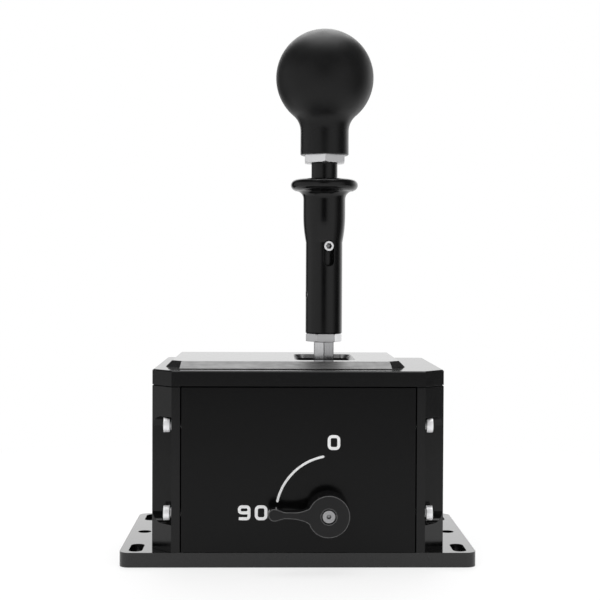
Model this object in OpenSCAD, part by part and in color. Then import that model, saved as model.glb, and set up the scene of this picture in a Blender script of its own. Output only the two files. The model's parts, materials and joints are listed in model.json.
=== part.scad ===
// Sim racing gear shifter: a sprung stick in a two axis cradle, inside a bolted housing.
// Millimetres, +Z up. The origin is the middle of the base plate's underside.
// The selector lever is on the -Y side, which is the front.

/* [Base plate] */
// Width of the flange that shows on each side of the housing
flange_w = 14.8; // [12:0.2:24]
// Thickness of the base plate
base_t = 7; // [6:0.5:10]
// Corner radius of the base plate
base_corner_r = 5; // [2:0.5:7]
// Distance from the end of a slot to the plate's front or rear edge
slot_edge = 2.75; // [2.5:0.25:6]
// Width of a slot
slot_w = 6.5; // [5:0.1:7]
// Length of a slot
slot_l = 17.5; // [12:0.5:20]
// Diameter of the round hole between the slots
mid_hole_d = 6.6; // [5:0.1:8]

/* [Housing] */
// Width of the housing
body_w = 140; // [136:1:160]
// Depth of the housing and of the base plate
body_d = 100; // [100:1:112]
// Height of the side walls
wall_h = 78.8; // [76:0.2:84]
// Thickness of the side walls
wall_t = 9; // [8:0.5:11]
// Width of the slanted front corner, seen from the front
facet_w = 10; // [8:0.5:10]
// Depth of the slanted front corner
facet_d = 11; // [10:0.5:12]
// Width of the wall's front strip beside the panel
strip_w = 4; // [3.5:0.25:5]
// Bevel of the rear corners
rear_bevel = 2; // [1:0.5:3]
// Thickness of the front and rear panels
panel_t = 6; // [6:0.5:7]
// Gap beside and above the front and rear panels
panel_gap = 0.65; // [0.2:0.05:0.8]
// Thickness of the lid
lid_t = 7.3; // [7:0.1:9]
// Bevel along the lid's edges
lid_bevel = 0.6; // [0.4:0.1:1]
// Height of the seam between the side walls and the lid
seam = 0.6; // [0.3:0.1:0.8]
// Depth of that seam
seam_depth = 0.7; // [0.5:0.1:2]

/* [Corner pockets] */
// Depth of a corner pocket behind the front face
pocket_d = 10.7; // [10:0.1:11]
// Height of the pocket's lower end above the base plate
pocket_z = 13; // [10:0.5:15]
// Height of the pocket
pocket_h = 51; // [49:0.5:56]
// Radius of the pocket's inner ends
pocket_r = 5; // [3:0.5:6]

/* [Gate cover] */
// Height of the raised cover and of its bevels
cover_h = 3; // [3:0.25:4]
// Distance of the cover's left edge from the housing's left side
cover_left_inset = 5; // [4.5:0.5:8]
// Distance of the cover's right edge from the housing's right side
cover_right_inset = 17; // [14:0.5:18]
// Distance of the cover's front edge from the housing's front
cover_front_inset = 20; // [19:0.5:22]
// Distance of the ramp's low edge from the housing's front
ramp_front_inset = 10; // [4:0.5:14]
// Height of the step at the ramp's low edge
ramp_lip = 0.3; // [0.3:0.1:1.2]
// Size of the cover's slanted front corners
cover_corner = 8; // [6:0.5:9]
// Width of the stick opening
opening_w = 26.5; // [26:0.5:34]
// Depth of the stick opening
opening_d = 46; // [44:0.5:48]
// Corner radius of the stick opening
opening_r = 4; // [3:0.5:5]
// Bevel round the stick opening
opening_bevel = 2; // [1:0.25:2.5]

/* [Stick] */
// Distance of the stick to the right of the middle
stick_x = 13.8; // [12:0.1:15]
// Distance of the stick behind the middle
stick_y = 6; // [5:0.5:7]
// Height of the stick's pivot
pivot_z = 48; // [47.5:0.25:49]
// Size of the hexagonal rod across its flats
rod_af = 10; // [9:0.5:10.5]
// Height of the rod's top above the base plane
rod_top = 104.3; // [103:0.1:106]
// Size of the lower nut across its flats
lower_nut_af = 16; // [15:0.5:18]
// Thickness of the lower nut
lower_nut_t = 4; // [3:0.25:5]
// Diameter of the upper shaft
shaft_d = 13.4; // [12.5:0.1:14]
// Gap between the lifted collar and the jam nut
lift_end_gap = 0.9; // [0.5:0.1:6]
// Size of the jam nut across its flats
jam_nut_af = 20; // [18:0.5:22]
// Thickness of the jam nut
jam_nut_t = 4; // [3:0.25:6]

/* [Knob] */
// Diameter of the knob's ball
ball_d = 50; // [44:1:56]
// Diameter of the knob's neck
neck_d = 24.8; // [22:0.2:28]
// Height of the ball's middle above the knob's lower face
ball_rise = 39.6; // [36:0.2:44]
// Radius of the blend between neck and ball
blend_r = 10.5; // [6:0.5:14]

/* [Lift collar] */
// Outer diameter of the collar's lower sleeve
sleeve_d = 18.8; // [18.2:0.1:20]
// Outer diameter of the collar's upper part
collar_d = 21.6; // [21.2:0.2:24]
// Diameter of the finger flange
flange_d = 34.5; // [30:0.5:40]
// Thickness of the finger flange
flange_t = 5.8; // [5:0.2:7]
// Length of the collar
collar_l = 79; // [78.5:0.5:82]
// Distance that the collar lifts
lift = 7.5; // [6:0.25:7.5]
// Width of the guide slot
guide_slot_w = 5.4; // [5:0.1:6]
// Diameter of the guide screw's head
guide_head_d = 5; // [4:0.1:5]
// Direction of the guide slot, turned from the front
guide_angle = 14; // [0:1:30]

/* [Mode selector] */
// Height of the selector's axis
selector_z = 27; // [26.5:0.5:28]
// Diameter of the selector's hub
hub_d = 19.5; // [18:0.5:22]
// Distance of the hub's face from the front panel
hub_proud = 16; // [14:0.5:18]
// Thickness of the selector's arm
arm_t = 6; // [4:0.5:8]
// Distance of the arm's tip from the axis
arm_l = 28; // [24:0.5:30]
// Diameter of the arm's round tip
arm_tip_d = 5.6; // [4.5:0.1:7]
// Width of the arm at its waist
arm_waist_w = 3; // [2.5:0.1:4]
// Diameter of the selector's shaft
selector_shaft_d = 8; // [7:0.5:8.5]
// Turn of the selector between its two places, in degrees
selector_turn = 90; // [60:5:90]

/* [Springs] */
// Wire of the centring springs
centring_wire = 1; // [0.8:0.1:1.1]
// Curls of each centring spring
centring_turns = 8; // [6:1:9]
// Wire of the lift spring
lift_wire = 1; // [0.8:0.1:1.1]
// Curls of the lift spring
lift_turns = 8; // [6:1:8]

/* [Hidden] */

$fn = 64;
// Small overrun of a cut past the face it leaves
e = 0.5;

// Clearances, all on the radius
running_gap = 0.05;
thread_gap = 0.04;
clear_gap = 0.25;
soft_gap = 0.3;

// Levels and half widths of the housing
base_w = body_w + 2 * flange_w;
wall_z = base_t;
lid_z = base_t + wall_h;
lid_top = lid_z + lid_t;
cover_top = lid_top + cover_h;
half_w = body_w / 2;
half_d = body_d / 2;
slot_pitch = body_d - slot_l - 2 * slot_edge;
strip_x = half_w - facet_w;
panel_x = strip_x - strip_w;
wall_in_x = half_w - wall_t;
cover_left = -half_w + cover_left_inset;
cover_right = half_w - cover_right_inset;
cover_front = -half_d + cover_front_inset;
ramp_front = -half_d + ramp_front_inset;
panel_foot_gap = 0.2;
slot_row_x = half_w + flange_w / 2;
panel_flange_d = 11;
panel_flange_w = 10;
wall_block_d = panel_flange_d + 1;

// Screws
m4_d = 4;
m4_head_d = 7;
m4_head_h = 3;
m4_key = 2.5;
m3_d = 3;
m3_head_d = 5.5;
m3_head_h = 2.6;
m3_key = 2;
m2_d = 2;
m2_head_d = 3.6;
m2_head_h = 1.6;
m2_key = 1.3;
side_screw_l = 14;
side_screw_back = 5.5;
side_screw_y = half_d - side_screw_back;
side_screw_inset = 5;
side_washer_t = 1;
side_washer_d = 5.2;
side_screw_levels = [wall_z + pocket_z + side_screw_inset, wall_z + pocket_z + pocket_h - side_screw_inset + 1];
tie_x = half_w - wall_t / 2;
tie_front = 20;
tie_rear = 22;
tie_ys = [-half_d + tie_front, half_d - tie_rear];
tie_engage = 5;
tie_head_h = 4;

// Rows of parts behind the rear panel and in front of the front block, which leave the room for the cradle
board_t = 1.6;
board_spacer_l = 3;
chip_w = 5;
chip_t = 1.2;
sensor_gap = 1;
shaft_end_gap = 0.2;
crank_gap = 3;
crank_t = 6;
slider_gap = 0.5;
slider_d = 7.5;
slider_panel_gap = 2;
rear_row = panel_t + board_spacer_l + board_t + chip_t + sensor_gap + shaft_end_gap;
front_row = panel_t + slider_panel_gap + slider_d + slider_gap + crank_t + crank_gap;
block_out = min(half_d - stick_y - rear_row, half_d + stick_y - front_row);

// Bearing blocks and cradle, seen from the pivot
block_w = 30;
block_t = 8;
block_gap = 2;
block_in = block_out - block_t;
arm_in = 10;
arm_out = 16;
cradle_half_d = block_in - block_gap;
cradle_bar = 6;
window_half_d = cradle_half_d - cradle_bar;
cradle_half_h = 8;
trunnion_d = 8;
shoulder_d = 10.6;

// Bearings and their blocks
bearing_d = 16;
bearing_t = 5;
bearing_lip_d = 13;
bearing_sink = 0.2;
block_crown = 13;
bearing_in = block_out - bearing_t - bearing_sink;
race_ball_d = 2.4;
ring_wall = 1.4;
race_r = (bearing_d + trunnion_d) / 4;
ball_count = 8;
block_screw_dx = 10;

// Centring crank, springs and mode slider, all in front of the front block
crank_in = block_out + crank_gap;
crank_wall = 2;
crank_out = crank_in + crank_t;
crank_d = 16;
crank_bar_z = 12;
crank_bar_t = 4;
crank_bar_w = 40;
spring_dx = 14;
slider_back = crank_out + slider_gap;
slider_front = slider_back + slider_d;
slider_mid = (slider_back + slider_front) / 2;
slider_t = 4;
slider_w = 40;
follower_r = 1.5;
follower_h = 2.2;
guide_d = 4;
guide_sink = 5;
guide_end_gap = 6;
cam_low_r = 5;
cam_rise = 5;
cam_t = 6;
cam_gap = 0.3;
cam_top = selector_z + cam_low_r;
slider_z = cam_top + cam_gap + follower_h;
spring_seat_z = slider_z + slider_t;
crank_bar_low = pivot_z + crank_bar_z;
centring_r = 3.3;

// Stick, from its lower end to its top
tail_d = 12;
bowl_floor = 5;
bowl_rim = 8;
bowl_r = pivot_z - base_t - bowl_floor;
ball_gap = 0.3;
detent_ball_d = 6;
tail_gap = 2;
tail_l = bowl_r - tail_gap;
detent_bore_l = 9;
detent_web = 1;
hub_r = 10;
hub_half_w = 8.5;
hub_neck_d = 16;
hub_neck_top = 16;
spigot_d = 8;
spigot_l = 11;
rod_bore_d = 5.4;
lift_rod_d = 5;
rod_z = pivot_z + hub_neck_top;
stud_l = 13;
collar_gap = 0.1;
shaft_l = collar_gap + collar_l + lift + lift_end_gap;
shaft_z = rod_top + lower_nut_t;
shaft_top = shaft_z + shaft_l;
knob_z = shaft_top + jam_nut_t;
knob_stud_d = 10;
knob_stud_l = 22;
insert_d = 14;
insert_l = 18;
pivot_screw_d = 8;
pivot_thread_d = 6;
pivot_thread_l = 4.5;
pivot_head_d = 13;
pivot_head_h = 4;
bush_wall = 1.5;
bush_flange_t = 1.2;
bush_flange_d = 14;

// Lift collar
collar_z = shaft_z + collar_gap;
collar_bore_gap = 0.06;
taper_low = 46.8;
taper_high = 60.6;
flange_fillet = 4.2;
flange_z = collar_l - flange_t;
spring_room_wall = 1.4;
spring_room_d = collar_d - 2 * spring_room_wall - 0.2;
spring_room_z = 54;
retainer_t = 2;
retainer_depth = 3.4;
retainer_z = collar_z + collar_l - retainer_depth - retainer_t;
snap_t = 1;
snap_depth = 0.8;
guide_z = 44.8;
guide_head_z = collar_z + guide_z;
slot_high = guide_z + 0.1 + guide_slot_w / 2;
slot_low = guide_z - lift - 0.1 - guide_slot_w / 2;
pin_d = 3;
top_pin_z = 20;
low_pin_drop = 20;
low_pin_z = pivot_z - low_pin_drop;
lockout_ring_d = 18;
lockout_ring_h = 4;
lift_spring_r = (shaft_d + spring_room_d) / 4;

// Detent plate and reverse stop
plate_half_w = 18;
plate_gap = 5;
plate_half_d = min(plate_half_w, block_in - plate_gap);
plate_screw_inset = 5;
plate_h = bowl_floor + bowl_rim;
dimple_r = 2.6;
gate_angle = 14;
lane_angle = 7;
stop_w = 6;
stop_gap = 0.5;
stop_half_d = 9;

// Mode selector
selector_back = half_d - slider_back + 1;
hub_front = half_d + hub_proud;
detent_ring_r = 7.6;
panel_ball_d = 3;
ball_proud = 0.5;
hub_gap = 0.3;
track_d = 0.8;
bush_d = 11;
selector_screw_d = 5.9;
selector_recess_d = 7.1;
recess_depth = 2.5;

// Boards and socket
board_x = 6;
board_side_gap = 5.5;
board_w = 2 * (panel_x - panel_gap - panel_flange_w - board_x - board_side_gap);
board_h = 44;
big_chip_x = -14;
big_chip_w = 10;
magnet_d = 5;
magnet_t = 2.5;
board_y = half_d - panel_t - board_spacer_l - board_t;
socket_w = 15;
socket_h = 13;
socket_l = 17;
socket_inset = 19;
socket_x = -panel_x + socket_inset;
socket_z = 18;
socket_mouth_w = 10;
socket_mouth_h = 7;
socket_mouth_d = 12;

// Corners of the housing seen from above, anticlockwise from the front left
HOUSING = [[-strip_x, -half_d], [strip_x, -half_d], [half_w, -half_d + facet_d], [half_w, half_d - rear_bevel],
    [half_w - rear_bevel, half_d], [-half_w + rear_bevel, half_d], [-half_w, half_d - rear_bevel],
    [-half_w, -half_d + facet_d]];

// A convex anticlockwise outline drawn in by a distance
function unit(v) = v / norm(v);
function left_of(v) = [-v[1], v[0]];
function inset(points, by) = let(n = len(points)) [for (i = [0:n - 1])
    let(a = left_of(unit(points[i] - points[(i + n - 1) % n])),
        b = left_of(unit(points[(i + 1) % n] - points[i])))
    points[i] + by * (a + b) / (1 + a * b)];

// Points on an arc, in steps of a few degrees
function arc(c, r, from, to, steps = 8) = [for (i = [0:steps])
    let(a = from + (to - from) * i / steps) [c[0] + r * cos(a), c[1] + r * sin(a)]];

// A coil spring that stands on z = 0: its rings, its tube and its least gap to itself
rings_per_curl = 8;
tube_sides = 6;
function coil_point(r, wire, h, turns, i) = let(n = turns * rings_per_curl, a = 360 * i / rings_per_curl)
    [r * cos(a), r * sin(a), wire / 2 + (h - wire) * i / n];
function coil_ring(r, wire, h, turns, i) = let(
    a = 360 * i / rings_per_curl,
    lead = atan((h - wire) / turns / (2 * PI * r)),
    outward = [cos(a), sin(a), 0],
    across = [-sin(lead) * sin(a), sin(lead) * cos(a), -cos(lead)],
    c = coil_point(r, wire, h, turns, i))
    [for (s = [0:tube_sides - 1]) let(b = 360 * s / tube_sides)
        c + wire / 2 * (cos(b) * outward + sin(b) * across)];
function coil_gap(r, wire, h, turns) = let(n = turns * rings_per_curl) min([for (i = [0:n - rings_per_curl / 2])
    for (j = [i + rings_per_curl / 2:n])
    norm(coil_point(r, wire, h, turns, i) - coil_point(r, wire, h, turns, j)) - wire]);
module coil(name, r, wire, h, turns) {
    n = turns * rings_per_curl;
    echo(str(name, " least gap to itself, mm: ", coil_gap(r, wire, h, turns)));
    points = [for (i = [0:n]) each coil_ring(r, wire, h, turns, i)];
    walls = [for (i = [0:n - 1]) for (s = [0:tube_sides - 1])
        let(p = i * tube_sides + s, q = i * tube_sides + (s + 1) % tube_sides)
        each [[p, q, q + tube_sides], [p, q + tube_sides, p + tube_sides]]];
    ends = [[for (s = [tube_sides - 1:-1:0]) s], [for (s = [0:tube_sides - 1]) n * tube_sides + s]];
    polyhedron(points, concat(walls, ends));
}

// Placing helpers
module at_pivot() translate([stick_x, stick_y, pivot_z]) children();
module both_sides() for (side = [0, 1]) mirror([side, 0, 0]) children();
// A cylinder or a profile whose axis runs towards +X, -X, +Y or -Y
module toward_x() rotate([0, 90, 0]) children();
module toward_minus_x() rotate([0, -90, 0]) children();
module toward_y() rotate([-90, 0, 0]) children();
module toward_minus_y() rotate([90, 0, 0]) children();
module tube(d, bore, h) difference() {
    cylinder(d = d, h = h);
    translate([0, 0, -e]) cylinder(d = bore, h = h + 2 * e);
}
module hexagon(af, h) cylinder(d = af / cos(30), h = h, $fn = 6);
module rounded_rect(w, d, r) {
    square([w - 2 * r, d], center = true);
    square([w, d - 2 * r], center = true);
    for (x = [-1, 1]) for (y = [-1, 1]) translate([x * (w / 2 - r), y * (d / 2 - r)]) circle(r = r);
}
module box(from, to) translate(from) cube(to - from);
// A socket head screw: its head stands on z = 0 and its shank points down
module socket_screw(d, head_d, head_h, key, l) difference() {
    union() {
        cylinder(d = head_d, h = head_h);
        translate([0, 0, -l]) cylinder(d = d, h = l + e);
    }
    translate([0, 0, head_h * 0.4]) hexagon(key, head_h);
}

module slot_cut() translate([0, 0, -e]) linear_extrude(base_t + 2 * e) {
    square([slot_w, slot_l - slot_w], center = true);
    for (y = [-1, 1]) translate([0, y * (slot_l - slot_w) / 2]) circle(d = slot_w);
}

// Places of the screws that come up through the base plate
block_screw_places = [for (y = [-1, 1]) for (x = [-1, 1])
    [stick_x + x * block_screw_dx, stick_y + y * (block_in + block_t / 2)]];
plate_screw_y = plate_half_d - plate_screw_inset;
plate_screw_x = stick_x + plate_half_w - plate_screw_inset;
plate_screw_places = [for (y = [-1, 1]) [plate_screw_x, stick_y + y * plate_screw_y]];
stop_x = stick_x - plate_half_w;
stop_screw_places = [for (y = [-1, 1]) [stop_x + stop_w / 2, stick_y + y * plate_screw_y]];
base_screw_places = concat(block_screw_places, plate_screw_places, stop_screw_places);
base_screw_l = 12;

module base_plate() color("#1b1b1d") difference() {
    linear_extrude(base_t) rounded_rect(base_w, body_d, base_corner_r);
    both_sides() {
        for (y = [-1, 1]) translate([slot_row_x, y * slot_pitch / 2, 0]) slot_cut();
        translate([slot_row_x, 0, -e]) cylinder(d = mid_hole_d, h = base_t + 2 * e);
        for (y = tie_ys) translate([tie_x, y, -e]) {
            cylinder(r = m4_d / 2 + clear_gap, h = base_t + 2 * e);
            cylinder(r = m4_head_d / 2 + clear_gap, h = tie_head_h + e);
        }
    }
    for (p = base_screw_places) translate([p[0], p[1], -e]) {
        cylinder(r = m3_d / 2 + clear_gap, h = base_t + 2 * e);
        cylinder(r = m3_head_d / 2 + clear_gap, h = m3_head_h + 0.4 + e);
    }
    for (x = [-1, 1]) translate([stick_x + x * spring_dx, stick_y - slider_mid, base_t - guide_sink])
        cylinder(r = guide_d / 2 + thread_gap, h = base_t);
}

module wall_outline() polygon([[panel_x, -half_d], [strip_x, -half_d], [half_w, -half_d + facet_d],
    [half_w, half_d - rear_bevel], [half_w - rear_bevel, half_d], [panel_x, half_d],
    [panel_x, half_d - wall_block_d], [wall_in_x, half_d - wall_block_d],
    [wall_in_x, -half_d + wall_block_d], [panel_x, -half_d + wall_block_d]]);

module side_wall() difference() {
    union() {
        translate([0, 0, wall_z]) linear_extrude(wall_h - seam) wall_outline();
        translate([0, 0, lid_z - seam - e]) linear_extrude(seam + e) intersection() {
            wall_outline();
            polygon(inset(HOUSING, seam_depth));
        }
    }
    translate([strip_x, -half_d, wall_z + pocket_z]) toward_x() linear_extrude(facet_w + e)
        translate([-pocket_h / 2, 0]) rounded_rect(pocket_h, 2 * pocket_d, pocket_r);
    for (z = side_screw_levels) {
        for (y = [-1, 1]) translate([panel_x - e, y * side_screw_y, z]) toward_x()
            cylinder(r = m4_d / 2 + clear_gap, h = strip_w + 2 * e);
        translate([strip_x, side_screw_y, z]) toward_x()
            cylinder(r = m4_head_d / 2 + clear_gap, h = facet_w + e);
    }
    for (y = tie_ys) translate([tie_x, y, wall_z - e]) cylinder(r = m4_d / 2 + clear_gap, h = wall_h + 2 * e);
}
module right_side_wall() color("#202022") side_wall();
module left_side_wall() color("#202022") mirror([1, 0, 0]) side_wall();

// A panel with a thicker flange at each end, its outer face at y = -half_d
module panel_blank() {
    w = 2 * (panel_x - panel_gap);
    h = wall_h - panel_foot_gap - panel_gap;
    translate([0, 0, wall_z + panel_foot_gap]) difference() {
        linear_extrude(h) {
            translate([-w / 2, -half_d]) square([w, panel_t]);
            for (x = [-1, 1]) translate([x * (w - panel_flange_w) / 2, -half_d + panel_flange_d / 2])
                square([panel_flange_w, panel_flange_d], center = true);
        }
        for (z = side_screw_levels) both_sides()
            translate([w / 2 + e, -side_screw_y, z - wall_z - panel_foot_gap])
            toward_minus_x() cylinder(r = m4_d / 2 + thread_gap, h = side_screw_l + 2);
    }
}

module front_panel() color("#19191b") difference() {
    panel_blank();
    translate([stick_x, -half_d - e, selector_z]) toward_y()
        cylinder(r = bush_d / 2 + thread_gap, h = panel_t + 2 * e);
    translate([stick_x, -half_d - e, selector_z - detent_ring_r]) toward_y()
        cylinder(r = panel_ball_d / 2 + running_gap, h = 5 + e);
    for (z = mode_pin_levels) translate([mode_board_x, -half_d + panel_t + e, z]) toward_minus_y()
        cylinder(r = mode_pin_d / 2 + thread_gap, h = mode_pin_l + e);
}

module rear_panel() color("#19191b") difference() {
    union() {
        mirror([0, 1, 0]) panel_blank();
        for (p = board_holes) translate([p[0], half_d - panel_t + e, p[1]]) toward_minus_y()
            cylinder(d = 6, h = board_spacer_l + e);
    }
    translate([socket_x, 0, socket_z])
        box([-socket_w / 2 - clear_gap, half_d - panel_t - e, -socket_h / 2 - clear_gap],
        [socket_w / 2 + clear_gap, half_d + e, socket_h / 2 + clear_gap]);
    for (x = [-1, 1]) translate([socket_x + x * socket_screw_dx, half_d + e, socket_z]) toward_minus_y()
        cylinder(r = m3_d / 2 + thread_gap, h = panel_screw_l + e);
    for (p = board_holes) translate([p[0], board_y2 - e, p[1]]) toward_y()
        cylinder(r = m3_d / 2 + thread_gap, h = panel_screw_l - board_t + 0.5 + e);
}

module lid() color("#262628") difference() {
    translate([0, 0, lid_z]) hull() {
        linear_extrude(lid_t - lid_bevel) polygon(HOUSING);
        linear_extrude(lid_t) polygon(inset(HOUSING, lid_bevel));
    }
    translate([stick_x, stick_y, lid_z - e]) linear_extrude(lid_t + 2 * e)
        rounded_rect(opening_w, opening_d, opening_r);
    both_sides() for (y = tie_ys) translate([tie_x, y, lid_z - e])
        cylinder(r = m4_d / 2 + thread_gap, h = tie_engage + 1 + e);
    for (p = cover_screw_places) translate([p[0], p[1], lid_z - e]) {
        cylinder(r = m3_d / 2 + clear_gap, h = lid_t + 2 * e);
        cylinder(r = m3_head_d / 2 + clear_gap, h = m3_head_h + 0.6 + e);
    }
}

// A bevelled mouth round the stick opening, from the cover's top down
module opening_mouth() {
    w = opening_w / 2 - opening_r;
    d = opening_d / 2 - opening_r;
    flare = opening_bevel + e;
    profile = [[0, 0], [opening_r, 0], [opening_r + flare, flare], [0, flare]];
    for (x = [-1, 1]) for (y = [-1, 1]) translate([x * w, y * d, 0])
        cylinder(r1 = opening_r, r2 = opening_r + flare, h = flare);
    for (turn = [0, 180]) rotate(turn) {
        translate([w, d, 0]) rotate([90, 0, 0]) linear_extrude(2 * d) polygon(profile);
        translate([-w, d, 0]) rotate([90, 0, 90]) linear_extrude(2 * w) polygon(profile);
    }
    linear_extrude(flare) square([2 * w, 2 * d], center = true);
}

cover_screw_places = [[cover_left + 9, cover_front + 9], [cover_left + 9, half_d - 12],
    [cover_right - 9, cover_front + 9], [cover_right - 9, half_d - 12]];

// A straight bar along X whose two long edges are bevelled at 45 degrees; low and high are its sides
module bevelled_bar(low, high, from, to) translate([from, 0, 0]) rotate([90, 0, 90]) linear_extrude(to - from)
    polygon([[low, 0], [high, 0], [high - cover_h, cover_h], [low + cover_h, cover_h]]);

module gate_cover() color("#2a2a2c") difference() {
    span = body_w + body_d;
    translate([0, 0, lid_top]) {
        intersection() {
            bevelled_bar(cover_front, half_d, cover_left, cover_right);
            rotate(90) bevelled_bar(-cover_right, -cover_left, cover_front, half_d);
            translate([cover_left + cover_corner, cover_front, 0]) rotate(-45) bevelled_bar(0, span, -span, span);
            translate([cover_right - cover_corner, cover_front, 0]) rotate(45) bevelled_bar(0, span, -span, span);
        }
        translate([cover_left + cover_corner, 0, 0]) rotate([90, 0, 90])
            linear_extrude(cover_right - cover_left - 2 * cover_corner) polygon([[ramp_front, 0],
                [cover_front + cover_h, 0], [cover_front + cover_h, cover_h], [ramp_front, ramp_lip]]);
    }
    translate([stick_x, stick_y, lid_top - e]) linear_extrude(cover_h + 2 * e)
        rounded_rect(opening_w, opening_d, opening_r);
    translate([stick_x, stick_y, cover_top - opening_bevel]) opening_mouth();
    for (p = cover_screw_places) translate([p[0], p[1], lid_top - e])
        cylinder(r = m3_d / 2 + thread_gap, h = cover_h - 0.8 + e);
}

module side_screws() color("#d8d8da") both_sides() for (y = [-1, 1]) for (z = side_screw_levels)
    translate([strip_x + side_washer_t, y * side_screw_y, z]) toward_x()
        socket_screw(m4_d, m4_head_d, m4_head_h, m4_key, side_screw_l);

module side_screw_washers() color("#c4c4c6") both_sides() for (y = [-1, 1]) for (z = side_screw_levels)
    translate([strip_x, y * side_screw_y, z]) toward_x()
        tube(side_washer_d, m4_d + 2 * thread_gap, side_washer_t);

module tie_bolts() color("#3a3a3c") both_sides() for (y = tie_ys)
    translate([tie_x, y, tie_head_h]) mirror([0, 0, 1])
        socket_screw(m4_d, m4_head_d, m4_head_h, m4_key, lid_z + tie_engage - tie_head_h);

module cover_screws() color("#3a3a3c") for (p = cover_screw_places)
    translate([p[0], p[1], lid_z + m3_head_h + 0.6]) mirror([0, 0, 1])
        socket_screw(m3_d, m3_head_d, m3_head_h, m3_key, lid_t - m3_head_h - 0.6 + cover_h - 1);

module base_screws() color("#3a3a3c") for (p = base_screw_places)
    translate([p[0], p[1], m3_head_h + 0.4]) mirror([0, 0, 1])
        socket_screw(m3_d, m3_head_d, m3_head_h, m3_key, base_screw_l);

// A bearing block whose inner face is towards the cradle; drawn on the +Y side of the pivot
module bearing_block(dir) difference() {
    translate([stick_x, stick_y + dir * block_in, 0]) mirror([0, dir < 0 ? 1 : 0, 0]) difference() {
        translate([0, block_t, 0]) rotate([90, 0, 0]) linear_extrude(block_t) {
            translate([-block_w / 2, base_t]) square([block_w, pivot_z - base_t - 4]);
            translate([0, pivot_z]) circle(r = block_crown);
            translate([-block_crown, pivot_z - 6]) square([2 * block_crown, 6]);
        }
        translate([0, -e, pivot_z]) toward_y() cylinder(d = bearing_lip_d, h = block_t + 2 * e);
        translate([0, bearing_in - block_in, pivot_z]) toward_y()
            cylinder(r = bearing_d / 2 + running_gap / 2, h = block_t);
    }
    for (p = block_screw_places) translate([p[0], p[1], base_t - e])
        cylinder(r = m3_d / 2 + thread_gap, h = base_screw_l);
}
module front_bearing_block() color("#9a9da0") bearing_block(-1);
module rear_bearing_block() color("#9a9da0") bearing_block(1);

// One ring of a ball bearing with its groove, lying on z = 0
module bearing_ring(inner_r, outer_r) rotate_extrude() difference() {
    translate([inner_r, 0]) square([outer_r - inner_r, bearing_t]);
    translate([race_r, bearing_t / 2]) circle(r = race_ball_d / 2 + running_gap);
}
module at_bearings() at_pivot() {
    translate([0, bearing_in, 0]) toward_y() children();
    translate([0, -bearing_in, 0]) toward_minus_y() children();
}
module bearing_outer_rings() color("#c9ccd0") at_bearings()
    bearing_ring(bearing_d / 2 - ring_wall, bearing_d / 2);
module bearing_inner_rings() color("#c9ccd0") at_bearings()
    bearing_ring(trunnion_d / 2 + running_gap / 2, trunnion_d / 2 + ring_wall);
module bearing_balls() color("#d8dadd") at_bearings() for (i = [0:ball_count - 1])
    rotate(360 * i / ball_count) translate([race_r, 0, bearing_t / 2]) sphere(d = race_ball_d);

module detent_plate() color("#8e9194") difference() {
    at_pivot() box([-plate_half_w + stop_w + 0.1, -plate_half_d, base_t - pivot_z],
        [plate_half_w, plate_half_d, base_t + plate_h - pivot_z]);
    at_pivot() sphere(r = bowl_r, $fn = 128);
    for (lane = [-1, 0, 1]) for (gate = [-1, 0, 1]) at_pivot() rotate([gate * gate_angle, lane * lane_angle, 0])
        translate([0, 0, -bowl_r]) sphere(r = dimple_r);
    for (p = plate_screw_places) translate([p[0], p[1], base_t - e])
        cylinder(r = m3_d / 2 + thread_gap, h = base_screw_l - base_t + m3_head_h + 2);
}

// How far the lock ring reaches towards the stop when the stick leans sideways
function ring_reach(lean) = (pivot_z - low_pin_z + lockout_ring_h / 2) * sin(lean)
    + lockout_ring_d / 2 * cos(lean);

// Stop that the lock ring meets just beyond the outer gear lane while the collar is down
module reverse_stop() color("#5c5f63") difference() {
    union() {
        box([stop_x, stick_y - plate_half_d, base_t],
            [stop_x + stop_w, stick_y + plate_half_d, base_t + plate_h]);
        box([stop_x, stick_y - stop_half_d, base_t + plate_h - e], [stick_x - ring_reach(lane_angle) - stop_gap,
            stick_y + stop_half_d, low_pin_z + lockout_ring_h / 2]);
    }
    for (p = stop_screw_places) translate([p[0], p[1], base_t - e])
        cylinder(r = m3_d / 2 + thread_gap, h = base_screw_l - base_t + m3_head_h + 2);
}

guide_top = crank_bar_low - guide_end_gap;
module slider_guides() color("#d0d2d5") for (x = [-1, 1])
    translate([stick_x + x * spring_dx, stick_y - slider_mid, base_t - guide_sink])
        cylinder(d = guide_d, h = guide_top - base_t + guide_sink);

module selector_bush() color("#b08d57") translate([stick_x, -half_d, selector_z]) toward_y()
    tube(bush_d, selector_shaft_d + 2 * running_gap, panel_t);

module selector_detent_ball() color("#d8dadd")
    translate([stick_x, -half_d - ball_proud + panel_ball_d / 2, selector_z - detent_ring_r])
        sphere(d = panel_ball_d);
module selector_detent_spring() color("#b9bcc0")
    translate([stick_x, -half_d + panel_ball_d - ball_proud + 0.1, selector_z - detent_ring_r]) toward_y()
        tube(panel_ball_d - 0.4, panel_ball_d - 1.4, 5 - panel_ball_d + ball_proud - 0.1);

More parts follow.
